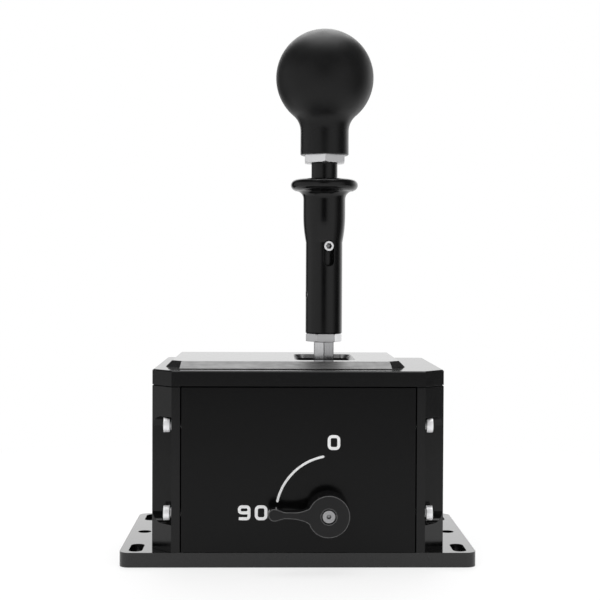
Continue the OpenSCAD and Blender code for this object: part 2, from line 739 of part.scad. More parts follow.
// Small board on the front panel that reads a magnet in the selector's cam
mode_board_w = 9;
mode_board_h = 16;
mode_board_x = stick_x - selector_shaft_d / 2 - 1 - mode_board_w / 2;
mode_board_z = selector_z - 6;
mode_pin_d = 2;
mode_pin_l = 3;
mode_pin_levels = [mode_board_z - 6, mode_board_z + 6];
mode_chip_t = 0.7;
mode_magnet_at = [-6.6, -3];
module mode_sensor_board() color("#1f5b3a") {
    box([mode_board_x - mode_board_w / 2, -half_d + panel_t, mode_board_z - mode_board_h / 2],
        [mode_board_x + mode_board_w / 2, -half_d + panel_t + board_t, mode_board_z + mode_board_h / 2]);
    translate([stick_x + mode_magnet_at[0], -half_d + panel_t + board_t - e, selector_z + mode_magnet_at[1]])
        box([-1.5, 0, -1.5], [1.5, mode_chip_t + e, 1.5]);
    for (z = mode_pin_levels) translate([mode_board_x, -half_d + panel_t + e, z]) toward_minus_y()
        cylinder(d = mode_pin_d, h = mode_pin_l);
}

board_holes = [for (x = [-1, 1]) for (z = [-1, 1])
    [board_x + x * (board_w / 2 - 4), pivot_z + z * (board_h / 2 - 4)]];
panel_screw_l = 8;
board_y2 = board_y + board_t;
module main_board() color("#1f5b3a") difference() {
    union() {
        translate([board_x, 0, pivot_z]) box([-board_w / 2, board_y, -board_h / 2],
            [board_w / 2, board_y2, board_h / 2]);
        translate([stick_x, board_y + e / 2, pivot_z]) box([-chip_w / 2, -chip_t - e / 2, -chip_w / 2],
            [chip_w / 2, 0, chip_w / 2]);
        translate([big_chip_x, board_y + e / 2, pivot_z])
            box([-big_chip_w / 2, -chip_t - e / 2, -big_chip_w / 2], [big_chip_w / 2, 0, big_chip_w / 2]);
    }
    for (p = board_holes) translate([p[0], board_y - e, p[1]]) toward_y()
        cylinder(r = m3_d / 2 + clear_gap, h = board_t + 2 * e);
}
module panel_screw() socket_screw(m3_d, m3_head_d, m3_head_h, m3_key, panel_screw_l);
module panel_screws() color("#3a3a3c") {
    for (p = board_holes) translate([p[0], board_y, p[1]]) toward_minus_y() panel_screw();
    for (x = [-1, 1]) translate([socket_x + x * socket_screw_dx, half_d + socket_flange_t, socket_z])
        toward_y() panel_screw();
}

socket_screw_dx = 12;
socket_flange_t = 1.5;
module data_socket() color("#101012") difference() {
    translate([socket_x, 0, socket_z]) union() {
        box([-socket_w / 2, half_d - socket_l, -socket_h / 2], [socket_w / 2, half_d + e, socket_h / 2]);
        box([-socket_screw_dx - 4, half_d, -socket_h / 2],
            [socket_screw_dx + 4, half_d + socket_flange_t, socket_h / 2]);
    }
    translate([socket_x, 0, socket_z]) box([-socket_mouth_w / 2, half_d + socket_flange_t - socket_mouth_d,
        -socket_mouth_h / 2], [socket_mouth_w / 2, half_d + socket_flange_t + e, socket_mouth_h / 2]);
    for (x = [-1, 1]) translate([socket_x + x * socket_screw_dx, half_d - e, socket_z]) toward_y()
        cylinder(r = m3_d / 2 + clear_gap, h = socket_flange_t + 2 * e);
}

// Cradle: a frame that rocks left and right on two trunnions
roll_end = half_d - stick_y - panel_t - board_spacer_l - board_t - chip_t - sensor_gap;
module cradle() color("#a6a9ad") at_pivot() difference() {
    union() {
        box([-arm_out, -cradle_half_d, -cradle_half_h], [arm_out, cradle_half_d, cradle_half_h]);
        toward_y() cylinder(d = shoulder_d, h = bearing_in);
        toward_minus_y() cylinder(d = shoulder_d, h = bearing_in);
        toward_y() cylinder(d = trunnion_d, h = roll_end);
        toward_minus_y() cylinder(d = trunnion_d, h = crank_out - crank_wall);
        for (y = [-1, 1]) translate([-arm_out + e, y * tilt_board_dy, 0]) toward_minus_x()
            cylinder(d = 4, h = tilt_board_x - arm_out + e);
    }
    box([-arm_in, -window_half_d, -cradle_half_h - e], [arm_in, window_half_d, cradle_half_h + e]);
    for (x = [-1, 1]) translate([x * (arm_in - e), 0, 0]) rotate([0, 90 * x, 0])
        cylinder(r = pivot_screw_d / 2 + bush_wall + thread_gap, h = arm_out - arm_in + 2 * e);
    translate([0, roll_end - magnet_t, 0]) toward_y() cylinder(r = magnet_d / 2 + thread_gap, h = magnet_t + e);
    translate([0, -crank_out, 0]) toward_y() cylinder(r = m4_d / 2 + thread_gap, h = crank_screw_l + 1);
    for (y = [-1, 1]) translate([-tilt_board_x - e, y * tilt_board_dy, 0]) toward_x()
        cylinder(r = m2_d / 2 + thread_gap, h = tilt_board_x - arm_out + 4 + e);
}

module cradle_bushes() color("#b08d57") at_pivot() for (x = [-1, 1])
    translate([x * arm_in, 0, 0]) rotate([0, 90 * x, 0]) difference() {
        union() {
            cylinder(d = pivot_screw_d + 2 * bush_wall, h = arm_out - arm_in);
            translate([0, 0, -bush_flange_t]) cylinder(d = bush_flange_d, h = bush_flange_t);
        }
        translate([0, 0, -bush_flange_t - e])
            cylinder(r = pivot_screw_d / 2 + running_gap, h = arm_out - arm_in + bush_flange_t + 2 * e);
    }

module centring_crank() color("#7d8084") at_pivot() difference() {
    union() {
        translate([0, -crank_in, 0]) toward_minus_y() cylinder(d = crank_d, h = crank_t);
        box([-5, -crank_out, 0], [5, -crank_in, crank_bar_z + crank_bar_t]);
        box([-crank_bar_w / 2, -slider_front, crank_bar_z],
            [crank_bar_w / 2, -crank_in, crank_bar_z + crank_bar_t]);
    }
    translate([0, -crank_out + crank_wall, 0]) toward_y()
        cylinder(r = trunnion_d / 2 + thread_gap, h = crank_t);
    translate([0, -crank_out - e, 0]) toward_y() cylinder(r = m4_d / 2 + clear_gap, h = crank_t);
}
crank_screw_l = 12;
module crank_screw() color("#3a3a3c") at_pivot() translate([0, -crank_out, 0]) toward_minus_y()
    socket_screw(m4_d, m4_head_d, m4_head_h - 0.6, m4_key, crank_screw_l);
module roll_magnet() color("#c3c6ca") at_pivot() translate([0, roll_end - magnet_t, 0]) toward_y()
    cylinder(d = magnet_d, h = magnet_t);

// Small board that reads the fore and aft tilt at the end of the left pivot screw
tilt_board_dy = 10;
tilt_board_edge = 4;
tilt_board_h = 14;
tilt_board_x = arm_out + 0.3 + pivot_head_h + sensor_gap + chip_t;
module tilt_sensor_board() color("#1f5b3a") at_pivot() difference() {
    union() {
        box([-tilt_board_x - board_t, -tilt_board_dy - tilt_board_edge, -tilt_board_h / 2],
            [-tilt_board_x, tilt_board_dy + tilt_board_edge, tilt_board_h / 2]);
        box([-tilt_board_x - e / 2, -chip_w / 2, -chip_w / 2],
            [-tilt_board_x + chip_t, chip_w / 2, chip_w / 2]);
    }
    for (y = [-1, 1]) translate([-tilt_board_x - board_t - e, y * tilt_board_dy, 0]) toward_x()
        cylinder(r = m2_d / 2 + clear_gap, h = board_t + 2 * e);
}
module tilt_board_screws() color("#c0c2c5") at_pivot() for (y = [-1, 1])
    translate([-tilt_board_x - board_t, y * tilt_board_dy, 0]) toward_minus_x()
        socket_screw(m2_d, m2_head_d, m2_head_h, m2_key, board_t + tilt_board_x - arm_out + 3);

// A slot for a cross pin along X that travels upwards
module pin_slot(reach) rotate([90, 0, 90]) translate([0, 0, -reach]) linear_extrude(2 * reach) {
    translate([-pin_d / 2 - 0.1, 0]) square([pin_d + 0.2, lift]);
    circle(r = pin_d / 2 + 0.1);
    translate([0, lift]) circle(r = pin_d / 2 + 0.1);
}
// Stick: hub on two pivot screws, with a tail below and the rod above
module pivot_hub() color("#b4b7bb") at_pivot() difference() {
    union() {
        translate([-hub_half_w, 0, 0]) toward_x() cylinder(r = hub_r, h = 2 * hub_half_w);
        cylinder(d = hub_neck_d, h = hub_neck_top);
        translate([0, 0, -tail_l]) cylinder(d = tail_d, h = tail_l);
    }
    translate([0, 0, -tail_l + detent_bore_l + detent_web])
        cylinder(d = rod_bore_d, h = tail_l + hub_neck_top);
    translate([0, 0, -tail_l - e]) cylinder(r = detent_ball_d / 2 + running_gap, h = detent_bore_l + e);
    translate([0, 0, hub_neck_top - spigot_l - 0.5])
        cylinder(r = spigot_d / 2 + thread_gap, h = spigot_l + 0.5 + e);
    for (x = [-1, 1]) translate([x * (hub_half_w + e), 0, 0]) rotate([0, -90 * x, 0])
        cylinder(r = pivot_thread_d / 2 + thread_gap, h = pivot_thread_l + e);
    translate([0, 0, low_pin_z - pivot_z]) pin_slot(tail_d);
}
module pivot_screws() color("#55585c") at_pivot() for (x = [-1, 1]) mirror([x < 0 ? 1 : 0, 0, 0]) difference() {
    union() {
        translate([hub_half_w - pivot_thread_l + 0.3, 0, 0]) toward_x()
            cylinder(d = pivot_thread_d, h = pivot_thread_l + e);
        translate([hub_half_w, 0, 0]) toward_x() cylinder(d = pivot_screw_d, h = arm_out + 0.3 - hub_half_w);
        translate([arm_out + 0.3, 0, 0]) toward_x() cylinder(d = pivot_head_d, h = pivot_head_h);
    }
    translate([arm_out + 0.3 + pivot_head_h - magnet_t, 0, 0]) toward_x()
        cylinder(r = magnet_d / 2 + thread_gap, h = magnet_t + e);
}
module tilt_magnet() color("#c3c6ca") at_pivot()
    translate([-arm_out - 0.3 - pivot_head_h, 0, 0]) toward_x() cylinder(d = magnet_d, h = magnet_t);

module at_stick(z) translate([stick_x, stick_y, z]) children();
module hex_rod() color("#c9cbce") at_stick(0) difference() {
    union() {
        translate([0, 0, rod_z - spigot_l]) cylinder(d = spigot_d, h = spigot_l + e);
        translate([0, 0, rod_z]) rotate(30) hexagon(rod_af, rod_top - rod_z);
        translate([0, 0, rod_top - e]) cylinder(d = spigot_d, h = lower_nut_t + stud_l + e);
    }
    translate([0, 0, rod_z - spigot_l - e]) cylinder(d = rod_bore_d, h = 200);
}
// A 30 degree cone that takes off the lower corners of a nut
nut_face = 0.7;
module nut_cone(af) cylinder(r1 = af / 2 + nut_face, r2 = af / 2 + nut_face + af / tan(30), h = af);
module lower_nut() color("#b9bbbe") at_stick(rod_top) rotate(-90 + 35) difference() {
    intersection() {
        hexagon(lower_nut_af, lower_nut_t);
        nut_cone(lower_nut_af);
        translate([0, 0, lower_nut_t]) mirror([0, 0, 1]) nut_cone(lower_nut_af);
    }
    translate([0, 0, -e]) cylinder(r = spigot_d / 2 + thread_gap, h = lower_nut_t + 2 * e);
}
module upper_shaft() color("#1a1a1c") difference() {
    at_stick(shaft_z) union() {
        cylinder(d = shaft_d, h = shaft_l);
        translate([0, 0, shaft_l - e]) cylinder(d = knob_stud_d, h = knob_stud_l + e);
    }
    at_stick(shaft_z - e) cylinder(r = spigot_d / 2 + thread_gap, h = stud_l + 0.5 + e);
    at_stick(shaft_z - e) cylinder(d = rod_bore_d, h = top_pin_z + lift + 7 + e);
    at_stick(collar_z + top_pin_z) rotate(guide_angle) pin_slot(shaft_d);
    at_stick(guide_head_z) rotate(guide_angle) toward_minus_y()
        cylinder(r = m3_d / 2 + thread_gap, h = shaft_d);
    at_stick(retainer_z + retainer_t) tube(shaft_d + 4, shaft_d - 2 * snap_depth, snap_t + 2 * running_gap);
}
module guide_screw() color("#c9cbce") at_stick(guide_head_z) rotate(guide_angle)
    translate([0, -shaft_d / 2 - 0.2, 0]) toward_minus_y() difference() {
        union() {
            cylinder(d = guide_head_d, h = (sleeve_d - shaft_d) / 2 - 0.6);
            translate([0, 0, -5]) cylinder(d = m3_d, h = 5 + e);
        }
        translate([0, 0, 0.6]) hexagon(2.7, 4);
    }
module spring_retainer() color("#8d9094") at_stick(retainer_z)
    tube(spring_room_d - 2 * soft_gap, shaft_d + 2 * running_gap, retainer_t);
module retaining_ring() color("#55585c") at_stick(retainer_z + retainer_t + running_gap) difference() {
    tube(shaft_d + 2, shaft_d - 2 * snap_depth + 2 * thread_gap, snap_t);
    translate([-1.5, 0, -e]) cube([3, shaft_d, snap_t + 2 * e]);
}
module jam_nut() color("#c4c6c9") at_stick(shaft_top) rotate(30) difference() {
    intersection() {
        hexagon(jam_nut_af, jam_nut_t);
        nut_cone(jam_nut_af);
    }
    translate([0, 0, -e]) cylinder(r = knob_stud_d / 2 + thread_gap, h = jam_nut_t + 2 * e);
}

// Knob profile: neck, blend and ball, turned about the stick's axis
ball_r = ball_d / 2;
neck_r = neck_d / 2;
blend_drop = sqrt(pow(ball_r + blend_r, 2) - pow(neck_r + blend_r, 2));
blend_end = asin(blend_drop / (ball_r + blend_r));
knob_edge = 0.8;
knob_profile = concat(
    [[0, 0], [neck_r - knob_edge, 0]],
    arc([neck_r - knob_edge, knob_edge], knob_edge, -90, 0, 4),
    arc([neck_r + blend_r, ball_rise - blend_drop], blend_r, 180, 180 - blend_end, 10),
    arc([0, ball_rise], ball_r, -blend_end, 90, 28));
module knob() color("#161618") at_stick(knob_z) difference() {
    rotate_extrude($fn = 96) polygon(knob_profile);
    translate([0, 0, -e]) cylinder(r = insert_d / 2 + thread_gap, h = insert_l + e);
    translate([0, 0, -e]) cylinder(d = knob_stud_d + 1, h = knob_stud_l + e);
}
module knob_insert() color("#b59a5a") at_stick(knob_z)
    tube(insert_d, knob_stud_d + 2 * thread_gap, insert_l);

module detent_ball() color("#d8dadd") at_pivot()
    translate([0, 0, -bowl_r + ball_gap + detent_ball_d / 2]) sphere(d = detent_ball_d);
module detent_spring() color("#b9bcc0") at_pivot()
    translate([0, 0, -bowl_r + ball_gap + detent_ball_d + 0.1])
        tube(detent_ball_d - 0.6, detent_ball_d - 2.2,
            bowl_r - tail_l + detent_bore_l - ball_gap - detent_ball_d - 0.2);

// Lift collar: sleeve, taper, finger flange, and the room for its spring
collar_r = collar_d / 2;
sleeve_r = sleeve_d / 2;
taper_drop = collar_r - sleeve_r;
taper_rise = taper_high - taper_low;
taper_r = (pow(taper_rise, 2) + pow(taper_drop, 2)) / (2 * taper_drop);
taper_turn = asin(taper_rise / taper_r);
rim_r = flange_t / 2;
collar_profile = concat(
    [[0, 0], [sleeve_r - 0.4, 0], [sleeve_r, 0.4]],
    arc([collar_r - taper_r, taper_high], taper_r, -taper_turn, 0, 8),
    arc([collar_r + flange_fillet, flange_z - flange_fillet], flange_fillet, 180, 90, 8),
    arc([flange_d / 2 - rim_r, flange_z + rim_r], rim_r, -90, 90, 12),
    [[0, collar_l]]);
module collar() color("#1c1c1e") at_stick(collar_z) difference() {
    rotate_extrude($fn = 96) polygon(collar_profile);
    translate([0, 0, -e]) cylinder(r = shaft_d / 2 + collar_bore_gap, h = collar_l);
    translate([0, 0, spring_room_z]) cylinder(d = spring_room_d, h = collar_l);
    rotate(guide_angle) rotate([90, 0, 0]) linear_extrude(sleeve_d) {
        translate([-guide_slot_w / 2, slot_low + guide_slot_w / 2])
            square([guide_slot_w, slot_high - slot_low - guide_slot_w]);
        translate([0, slot_low + guide_slot_w / 2]) circle(d = guide_slot_w);
        translate([0, slot_high - guide_slot_w / 2]) circle(d = guide_slot_w);
    }
    translate([0, 0, top_pin_z]) rotate(guide_angle) toward_x()
        translate([0, 0, -sleeve_d]) cylinder(r = pin_d / 2 + thread_gap, h = 2 * sleeve_d);
}
lift_rod_low = low_pin_z - pin_d / 2 - 1;
lift_rod_top = collar_z + top_pin_z + pin_d / 2 + 3;
module lift_rod() color("#c9cbce") difference() {
    at_stick(lift_rod_low) cylinder(d = lift_rod_d, h = lift_rod_top - lift_rod_low);
    at_stick(low_pin_z) toward_x() translate([0, 0, -5]) cylinder(r = pin_d / 2 + thread_gap, h = 10);
    at_stick(collar_z + top_pin_z) rotate(guide_angle) toward_x()
        translate([0, 0, -5]) cylinder(r = pin_d / 2 + thread_gap, h = 10);
}
module lift_pins() color("#d0d2d5") {
    at_stick(low_pin_z) toward_x() translate([0, 0, -lockout_ring_d / 2 + 0.4])
        cylinder(d = pin_d, h = lockout_ring_d - 0.8);
    at_stick(collar_z + top_pin_z) rotate(guide_angle) toward_x() translate([0, 0, -sleeve_d / 2 + 0.4])
        cylinder(d = pin_d, h = sleeve_d - 0.8);
}
module lockout_ring() color("#6a6d71") at_stick(low_pin_z - lockout_ring_h / 2) difference() {
    tube(lockout_ring_d, tail_d + 2 * running_gap, lockout_ring_h);
    translate([0, 0, lockout_ring_h / 2]) toward_x() translate([0, 0, -lockout_ring_d])
        cylinder(r = pin_d / 2 + thread_gap, h = 2 * lockout_ring_d);
}
lift_spring_low = collar_z + spring_room_z + 0.1;
lift_spring_h = retainer_z - 0.1 - lift_spring_low;
module lift_spring() color("#c2c5c9") at_stick(lift_spring_low)
    coil("lift_spring", lift_spring_r, lift_wire, lift_spring_h, lift_turns);

// Mode selector: lever outside, shaft with a snail cam inside
arm_flare = 6;
arm_from = 6;
arm_lean = 1.8;
tip_r = arm_tip_d / 2;
tip_at = arm_l - tip_r;
waist_at = tip_at - 5.5;
waist_r = arm_waist_w / 2;
function half_width(x) = x < waist_at
    ? waist_r + (arm_flare - waist_r) * pow((waist_at - x) / (waist_at - arm_from), 3)
    : waist_r + (tip_r - waist_r) * (1 - cos(180 * (x - waist_at) / (tip_at - waist_at))) / 2;
arm_steps = 24;
arm_edge = [for (i = [0:arm_steps]) let(x = arm_from + (tip_at - arm_from) * i / arm_steps) [x, half_width(x)]];
arm_outline = concat([for (p = arm_edge) [-p[0], -p[1]]],
    [for (i = [arm_steps:-1:0]) [-arm_edge[i][0], arm_edge[i][1]]]);
module selector_lever() color("#242426") translate([stick_x, -hub_front, selector_z]) difference() {
    rotate([-90, 0, 0]) mirror([0, 1, 0]) union() {
        cylinder(d = hub_d, h = hub_proud - hub_gap);
        linear_extrude(arm_t) rotate(-arm_lean) {
            polygon(arm_outline);
            translate([-tip_at, 0]) circle(r = tip_r);
        }
    }
    translate([0, -e, 0]) toward_y() cylinder(d = selector_recess_d, h = recess_depth + e);
    translate([0, -e, 0]) toward_y() cylinder(r = m3_d / 2 + clear_gap, h = hub_proud);
    translate([0, recess_depth + shaft_step, 0]) toward_y()
        cylinder(r = selector_shaft_d / 2 + thread_gap, h = hub_proud);
    translate([0, hub_proud - hub_gap - track_d, 0]) toward_y() difference() {
        cylinder(r = detent_ring_r + panel_ball_d / 2, h = track_d + e);
        translate([0, 0, -e]) cylinder(r = detent_ring_r - panel_ball_d / 2, h = track_d + 3 * e);
    }
}
shaft_step = 2;
shaft_front = hub_front - recess_depth - shaft_step - 0.2;
shaft_back = stick_y - slider_back;
selector_screw_l = 10;
module selector_screw() color("#a4a6a9") translate([stick_x, -hub_front + recess_depth, selector_z])
    toward_minus_y() socket_screw(m3_d, selector_screw_d, recess_depth - 0.4, m3_key, selector_screw_l);
module selector_shaft() color("#c9cbce") difference() {
    translate([stick_x, -shaft_front, selector_z]) toward_y()
        cylinder(d = selector_shaft_d, h = shaft_front + shaft_back);
    translate([stick_x, -shaft_front - e, selector_z]) toward_y()
        cylinder(r = m3_d / 2 + thread_gap, h = selector_screw_l + e);
}

// Snail cam: its radius at the top grows steadily as the selector turns
cam_y = stick_y - slider_mid;
cam_step = 6;
cam_tail = 150;
cam_dwell = 60;
function polar(r, a) = [r * cos(a), r * sin(a)];
cam_points = concat(
    [for (a = [-cam_tail:cam_step:-cam_step]) polar(cam_low_r, 90 + a)],
    [for (a = [0:cam_step:selector_turn]) polar(cam_low_r + cam_rise * a / selector_turn, 90 + a)],
    [for (a = [cam_step:cam_step:cam_dwell]) polar(cam_low_r + cam_rise, 90 + selector_turn + a)]);
magnet_small_d = 2.6;
magnet_small_t = 2;
module mode_cam() color("#8d9094") translate([stick_x, cam_y - cam_t / 2, selector_z]) difference() {
    rotate([-90, 0, 0]) mirror([0, 1, 0]) linear_extrude(cam_t) polygon(cam_points);
    translate([0, -e, 0]) toward_y() cylinder(r = selector_shaft_d / 2 + thread_gap, h = cam_t + 2 * e);
    translate([mode_magnet_at[0], -e, mode_magnet_at[1]]) toward_y()
        cylinder(r = magnet_small_d / 2 + thread_gap, h = magnet_small_t + e);
}
module mode_magnet() color("#c3c6ca")
    translate([stick_x + mode_magnet_at[0], cam_y - cam_t / 2, selector_z + mode_magnet_at[1]]) toward_y()
        cylinder(d = magnet_small_d, h = magnet_small_t);

// Slider that the cam lifts to load the centring springs
module mode_slider() color("#74777b") translate([stick_x, stick_y, 0]) difference() {
    union() {
        box([-slider_w / 2, -slider_front, slider_z], [slider_w / 2, -slider_back, spring_seat_z]);
        box([-follower_r, -slider_front, slider_z - follower_h + follower_r],
            [follower_r, -slider_back, slider_z + e]);
        translate([0, -slider_back, slider_z - follower_h + follower_r]) toward_minus_y()
            cylinder(r = follower_r, h = slider_d);
    }
    for (x = [-1, 1]) translate([x * spring_dx, -slider_mid, slider_z - e])
        cylinder(r = guide_d / 2 + running_gap, h = slider_t + 2 * e);
}
spring_end_gap = 0.1;
module centring_springs() color("#c2c5c9") for (x = [-1, 1])
    translate([stick_x + x * spring_dx, stick_y - slider_mid, spring_seat_z + spring_end_gap])
        coil("centring_springs", centring_r, centring_wire, crank_bar_low - spring_seat_z - 2 * spring_end_gap,
            centring_turns);

base_plate();
left_side_wall();
right_side_wall();
front_panel();
rear_panel();
lid();
gate_cover();
side_screws();
side_screw_washers();
tie_bolts();
cover_screws();
front_bearing_block();
rear_bearing_block();
base_screws();
bearing_outer_rings();
bearing_balls();
detent_plate();
reverse_stop();
slider_guides();
selector_bush();
selector_detent_ball();
selector_detent_spring();
mode_sensor_board();
main_board();
data_socket();
panel_screws();
cradle();
bearing_inner_rings();
cradle_bushes();
centring_crank();
crank_screw();
roll_magnet();
tilt_sensor_board();
tilt_board_screws();
pivot_hub();
pivot_screws();
tilt_magnet();
hex_rod();
lower_nut();
upper_shaft();
guide_screw();
spring_retainer();
retaining_ring();
jam_nut();
knob();
knob_insert();
detent_ball();
detent_spring();
collar();
lift_rod();
lift_pins();
lockout_ring();
lift_spring();
selector_lever();
selector_screw();
selector_shaft();
mode_cam();
mode_magnet();
mode_slider();
centring_springs();
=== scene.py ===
import json
import math

import bmesh
import bpy
from mathutils import Matrix, Vector


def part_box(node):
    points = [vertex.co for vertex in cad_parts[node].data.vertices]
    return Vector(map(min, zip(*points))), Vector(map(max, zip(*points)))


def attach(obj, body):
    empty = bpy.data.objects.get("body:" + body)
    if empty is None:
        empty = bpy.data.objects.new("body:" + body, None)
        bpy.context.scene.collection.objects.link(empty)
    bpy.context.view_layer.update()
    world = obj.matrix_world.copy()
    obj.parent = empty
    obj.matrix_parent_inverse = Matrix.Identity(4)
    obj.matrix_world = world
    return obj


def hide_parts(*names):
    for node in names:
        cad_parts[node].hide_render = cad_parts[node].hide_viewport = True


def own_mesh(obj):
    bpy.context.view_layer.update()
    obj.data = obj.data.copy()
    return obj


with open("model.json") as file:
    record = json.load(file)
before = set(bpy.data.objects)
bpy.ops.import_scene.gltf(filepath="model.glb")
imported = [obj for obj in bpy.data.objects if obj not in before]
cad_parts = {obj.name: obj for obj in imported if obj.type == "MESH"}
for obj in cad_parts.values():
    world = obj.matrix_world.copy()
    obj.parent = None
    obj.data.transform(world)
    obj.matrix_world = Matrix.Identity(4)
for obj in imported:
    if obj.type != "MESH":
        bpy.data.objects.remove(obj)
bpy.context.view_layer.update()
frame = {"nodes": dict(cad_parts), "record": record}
nodes = frame["nodes"]
scene = bpy.context.scene
scene.view_settings.view_transform = "Standard"

# Places and strokes in millimetres, the same as in the part's source and its record
MM = 0.001
STICK_X, STICK_Y = 13.8, 6.0
KNOB_Z = 199.8
PANEL_Y = -50.0
COLLAR_LIFT, SLIDER_RISE = 7.5, 5.0


# Node trees. The two nodes that look round take this many samples.
GAP_SAMPLES, EDGE_SAMPLES = 8, 6


def grey(level):
    """An opaque grey, as a colour socket takes it."""
    return (level, level, level, 1)


class Nodes:
    """Adds nodes to an emptied node tree and joins them."""

    def __init__(self, tree):
        self.tree = tree
        tree.nodes.clear()

    def add(self, kind, inputs=None, **settings):
        """A new node with its settings, and with numbers or joined sockets on its inputs."""
        node = self.tree.nodes.new("ShaderNode" + kind)
        for key, value in settings.items():
            setattr(node, key, value)
        for key, value in (inputs or {}).items():
            socket = node.inputs[key]
            if isinstance(value, bpy.types.NodeSocket):
                self.tree.links.new(value, socket)
            else:
                socket.default_value = value
        return node

    def calc(self, operation, *values):
        """The result of arithmetic on one or two values."""
        return self.add("Math", dict(enumerate(values)), operation=operation).outputs[0]

    def axes(self, vector):
        """The X, Y and Z of a vector."""
        return self.add("SeparateXYZ", {0: vector}).outputs

    def noise(self, vector, scale, detail):
        """Noise from 0 to 1."""
        return self.add("TexNoise", {"Vector": vector, "Scale": scale, "Detail": detail}).outputs["Fac"]

    def span(self, value, start, stop, low=0.0, high=1.0):
        """low at start, high at stop, even between them and held beyond them."""
        ends = {"From Min": start, "From Max": stop, "To Min": low, "To Max": high}
        return self.add("MapRange", {"Value": value, **ends}).outputs["Result"]

    def ramp(self, factor, stops):
        """Greys along a factor, from (place, level) stops."""
        node = self.add("ValToRGB", {"Fac": factor})
        elements = node.color_ramp.elements
        while len(elements) < len(stops):
            elements.new(0.5)
        for element, (place, level) in zip(elements, stops):
            element.position = place
            element.color = grey(level)
        return node.outputs["Color"]

    def blend(self, factor, under, over, how="MIX"):
        """Two colours mixed by a factor."""
        colours = {"Factor": factor, "A": under, "B": over}
        return self.add("Mix", colours, data_type="RGBA", blend_type=how).outputs["Result"]

    def openness(self, distance, alone=False):
        """1 in the open and less in gaps of about that size. alone looks at the piece itself only."""
        node = self.add("AmbientOcclusion", {"Distance": distance}, samples=GAP_SAMPLES, only_local=alone)
        return node.outputs["AO"]


# Finishes. Stops are (openness or direction, share of the colour or of a painted pale highlight on an
# edge).
CLOUD_SCALE, CLOUD_DETAIL, GRAIN_DETAIL = 220.0, 4.0, 2.0
NOISE_LOW, NOISE_HIGH = 0.15, 0.4
HOLE_SHADE_STOPS = [(0.35, 0.03), (0.8, 1.0)]
GAP_SHADE_STOPS = [(0.15, 0.0), (0.3, 1.0)]
RIM_HIGHLIGHT_STOPS = [(0.3, 0.0), (0.5, 1.0), (0.90, 1.0), (0.98, 0.0)]
FLAT_SIDE, CORNER = 0.2, 0.5
DUST_SHUT, DUST_OPEN, DUST_ROUGH = 0.35, 0.7, 0.9
SHARE_MAX = 4.0
HEIGHT_FADE = 0.006


def shade_of(n, cloud, edge, low, high, recess, gap_shade, rim_highlight, hex_edge_shade):
    """The colour of a finish, from a cloudy mix of two, with painted shade in holes, in gaps and on the
    edges of a six-sided bar, and a painted highlight on front edges. edge is the rounded normal.
    """
    shade = n.blend(cloud, (*low, 1), (*high, 1))
    # Painted shade: darker deep in the piece's own holes
    if recess:
        shade = n.blend(1.0, shade, n.ramp(n.openness(recess, alone=True), HOLE_SHADE_STOPS), "MULTIPLY")
    # Painted shade: darker deep in narrow gaps between pieces
    if gap_shade:
        shade = n.blend(1.0, shade, n.ramp(n.openness(gap_shade), GAP_SHADE_STOPS), "MULTIPLY")
    # Painted highlight: paler on the rounded edges of faces toward the front
    if rim_highlight:
        toward = n.calc("MULTIPLY", n.axes(edge)["Y"], -1.0)
        shade = n.blend(n.ramp(toward, RIM_HIGHLIGHT_STOPS), shade, grey(rim_highlight))
    # Painted shade: darker on the rounded edges of an upright six-sided bar
    if hex_edge_shade:
        across = n.axes(edge)
        thrice = n.calc("MULTIPLY", n.calc("ARCTAN2", across["X"], across["Y"]), 3.0)
        corner = n.calc("ABSOLUTE", n.calc("COSINE", thrice))
        edge_shade = n.ramp(corner, [(FLAT_SIDE, 1.0), (CORNER, 1.0 - hex_edge_shade)])
        shade = n.blend(1.0, shade, edge_shade, "MULTIPLY")
    return shade


def blur_of(n, place, cloud, fine, rough, top, slope, above, dusty):
    """The roughness of a finish, from noise between two values."""
    blur = n.span(n.calc("MULTIPLY", cloud, fine), NOISE_LOW, NOISE_HIGH, *rough)
    facing = n.axes(n.add("NewGeometry").outputs["Normal"])["Z"]
    # (how far a face looks up, share), divided by the largest share because a ramp ends at 1
    shares = [(0.90, 1.0), (0.96, slope), (0.98, slope), (0.997, top)]
    share = n.ramp(facing, [(upward, part / SHARE_MAX) for upward, part in shares])
    blur = n.calc("MULTIPLY", n.calc("MULTIPLY", blur, share), SHARE_MAX)
    if above:
        height, part = above
        over = n.span(n.axes(place)["Z"], height - HEIGHT_FADE, height + HEIGHT_FADE, 1.0, part)
        blur = n.calc("MULTIPLY", blur, over)
    if dusty:
        dust = n.span(n.openness(dusty), DUST_SHUT, DUST_OPEN, DUST_ROUGH, 0.0)
        blur = n.calc("MAXIMUM", blur, dust)
    return blur


